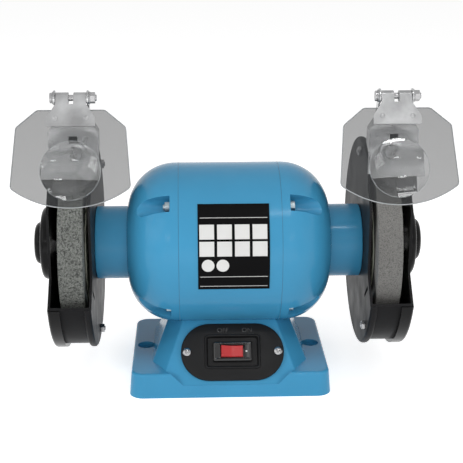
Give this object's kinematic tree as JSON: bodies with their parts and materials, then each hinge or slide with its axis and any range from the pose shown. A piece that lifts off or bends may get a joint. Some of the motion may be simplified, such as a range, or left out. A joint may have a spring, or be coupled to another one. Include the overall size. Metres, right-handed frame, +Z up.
{
  "type": "bench grinder",
  "caption": "Bench grinder with a round motor between two guarded grinding wheels, tilting clear eye shields on spark arrestors and a rocker switch on a pedestal base.",
  "frame": {"origin": "middle of the base's underside, midway between the two bench holes", "axes": "+X to the right along the spindle, +Y away from the person at the machine, +Z up"},
  "size_m": [0.349, 0.1767, 0.257],
  "materials": {
    "blue_paint": "gloss enamel",
    "guard_paint": "satin charcoal",
    "cover_paint": "gloss black",
    "label": "plain black sheet",
    "zinc": "bright zinc plate",
    "steel": "ground steel",
    "lamination": "stacked sheet steel",
    "copper": "enamelled copper wire",
    "cage": "cast",
    "abrasive": "vitrified grey grit",
    "paper": "plain card",
    "clear_sheet": "clear",
    "black_plastic": "fine grain",
    "red_plastic": "smooth",
    "can": "drawn can",
    "terminal_plastic": "moulded",
    "rubber": "moulded"
  },
  "bodies": {
    "frame": {"stator_housing": "blue_paint", "left_end_bell": "blue_paint", "right_end_bell": "blue_paint", "base_casting": "blue_paint", "left_guard": "guard_paint", "right_guard": "guard_paint", "left_guard_cover": "cover_paint", "right_guard_cover": "cover_paint", "rating_label": "label", "through_bolts": "zinc", "through_bolt_nuts": "zinc", "cover_screws": "zinc", "cover_nuts": "zinc", "guard_screws": "zinc", "bracket_screws": "zinc", "bracket_washers": "zinc", "bracket_nuts": "zinc", "saddle_bolts": "zinc", "base_plate": "zinc", "base_plate_screws": "zinc", "capacitor_clip": "zinc", "switch_plate_screws": "zinc", "bearing_outer_rings": "steel", "stator_core": "lamination", "stator_windings": "copper", "switch_plate": "black_plastic", "switch_body": "black_plastic", "capacitor": "can", "terminal_block": "terminal_plastic", "cable_gland": "rubber"},
    "spindle": {"shaft": "steel", "rotor_core": "lamination", "rotor_cage": "cage", "bearing_inner_rings": "steel", "bearing_balls": "steel", "left_wheel": "abrasive", "right_wheel": "abrasive", "wheel_blotters": "paper", "left_inner_flange": "zinc", "right_inner_flange": "zinc", "left_outer_flange": "zinc", "right_outer_flange": "zinc", "arbor_nuts": "zinc"},
    "rocker": {"switch_rocker": "red_plastic"},
    "left_arrestor": {"left_spark_bracket": "zinc", "left_hinge_bolt": "zinc", "left_hinge_nut": "zinc", "left_hinge_washers": "zinc"},
    "left_shield": {"left_shield_clip": "zinc", "left_eye_shield": "clear_sheet", "left_magnifier": "clear_sheet"},
    "right_arrestor": {"right_spark_bracket": "zinc", "right_hinge_bolt": "zinc", "right_hinge_nut": "zinc", "right_hinge_washers": "zinc"},
    "right_shield": {"right_shield_clip": "zinc", "right_eye_shield": "clear_sheet", "right_magnifier": "clear_sheet"}
  },
  "joints": [
    {"name": "spindle_spin", "type": "hinge", "parent": "frame", "child": "spindle", "pos_m": [0, 0, 0.117], "axis": [1, 0, 0], "continuous": true},
    {"name": "left_arrestor_slide", "type": "slide", "parent": "frame", "child": "left_arrestor", "axis": [0, 0, -1], "range_m": [0, 0.008]},
    {"name": "left_shield_tilt", "type": "hinge", "parent": "left_arrestor", "child": "left_shield", "pos_m": [-0.1247, -0.0448, 0.251], "axis": [-1, 0, 0], "range_deg": [-10, 95]},
    {"name": "right_arrestor_slide", "type": "slide", "parent": "frame", "child": "right_arrestor", "axis": [0, 0, -1], "range_m": [0, 0.008]},
    {"name": "right_shield_tilt", "type": "hinge", "parent": "right_arrestor", "child": "right_shield", "pos_m": [0.1317, -0.0448, 0.251], "axis": [-1, 0, 0], "range_deg": [-10, 95]},
    {"name": "switch_rock", "type": "hinge", "parent": "frame", "child": "rocker", "pos_m": [0.002, -0.04773, 0.03392], "axis": [0, 0.6018, 0.7986], "range_deg": [0, 16]}
  ]
}
